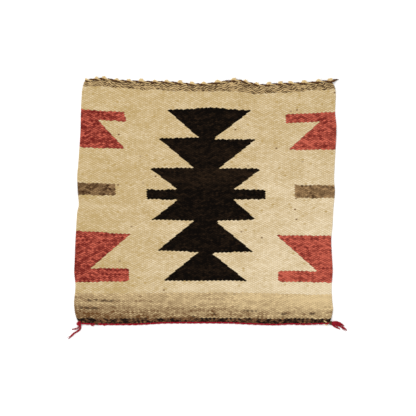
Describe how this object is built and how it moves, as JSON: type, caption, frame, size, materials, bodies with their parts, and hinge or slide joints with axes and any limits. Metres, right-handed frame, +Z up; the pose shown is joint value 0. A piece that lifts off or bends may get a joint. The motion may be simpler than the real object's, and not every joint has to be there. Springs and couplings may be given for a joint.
{
  "type": "navajo rug",
  "caption": "Small flat wool rug of weft-faced tapestry with a stepped black centre figure, red side figures, twined end cords and corner tassels.",
  "frame": {"origin": "on the floor, under the middle of the whole rug with its tassels", "axes": "+X to the rug's right side, +Y to its top end, the end with the brown band, +Z up out of its face"},
  "size_m": [0.5458, 0.511, 0.0082],
  "materials": {
    "cream_wool": "matte handspun wool, undyed, with soft streaks",
    "black_wool": "matte handspun wool, brown-black",
    "red_wool": "matte handspun wool, faded red in uneven stripes",
    "brown_wool": "matte handspun wool, heathered grey-brown",
    "tan_wool": "matte handspun wool, streaky tan",
    "dark_brown_wool": "matte handspun wool, dark brown",
    "cord_wool": "matte plied wool cord, one ply cream and one dark brown",
    "crimson_wool": "plied crimson yarn with a slight sheen"
  },
  "bodies": {
    "root": {"woven_cloth": "cream_wool", "top_end_cord": "cord_wool", "bottom_end_cord": "crimson_wool", "bottom_left_tassel": "crimson_wool", "bottom_right_tassel": "crimson_wool"}
  },
  "joints": []
}
